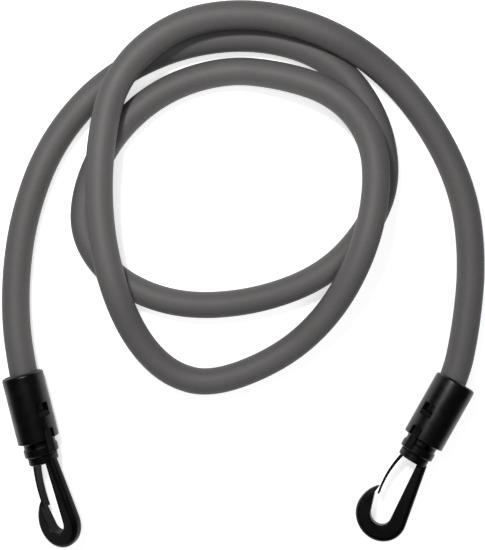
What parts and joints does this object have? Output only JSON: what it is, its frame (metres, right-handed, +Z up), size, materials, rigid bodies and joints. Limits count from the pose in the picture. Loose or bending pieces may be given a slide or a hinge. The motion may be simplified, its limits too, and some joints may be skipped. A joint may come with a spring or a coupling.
{
  "type": "stretch cord with snap hooks",
  "caption": "Stretch cord with a rubber jacket and a swivelling plastic snap hook at each end, laid down in loose loops.",
  "frame": {"origin": "on the table, under the middle of the box round the two end fittings", "axes": "+X from the left fitting to the right one, +Y from the hooks to the loops of cord, +Z up from the table"},
  "size_m": [0.2185, 0.2419, 0.0248],
  "materials": {
    "cord_jacket": "matte",
    "cord_core": "matte",
    "collar": "satin",
    "collet": "satin",
    "hook": "satin",
    "gate": "satin"
  },
  "bodies": {
    "cord": {"cord_sheath": "cord_jacket", "cord_core": "cord_core", "left_collar": "collar", "left_collet": "collet", "right_collar": "collar", "right_collet": "collet"},
    "left_hook": {"left_hook": "hook"},
    "left_gate": {"left_gate": "gate"},
    "right_hook": {"right_hook": "hook"},
    "right_gate": {"right_gate": "gate"}
  },
  "joints": [
    {"name": "left_swivel", "type": "hinge", "parent": "cord", "child": "left_hook", "pos_m": [-0.08804, 0.00218, 0.009], "axis": [0.2453, -0.9694, 0], "continuous": true},
    {"name": "right_swivel", "type": "hinge", "parent": "cord", "child": "right_hook", "pos_m": [0.07996, 0.00241, 0.009], "axis": [-0.4909, -0.8712, 0], "continuous": true},
    {"name": "left_gate_flex", "type": "hinge", "parent": "left_hook", "child": "left_gate", "pos_m": [-0.09119, -0.00084, 0.00698], "axis": [-0.4551, -0.1152, 0.8829], "range_deg": [0, 22], "stiffness_Nm_per_rad": 0.12},
    {"name": "right_gate_flex", "type": "hinge", "parent": "right_hook", "child": "right_gate", "pos_m": [0.0754, 0.00251, 0.00749], "axis": [-0.3051, 0.1719, 0.9367], "range_deg": [0, 22], "stiffness_Nm_per_rad": 0.12}
  ]
}
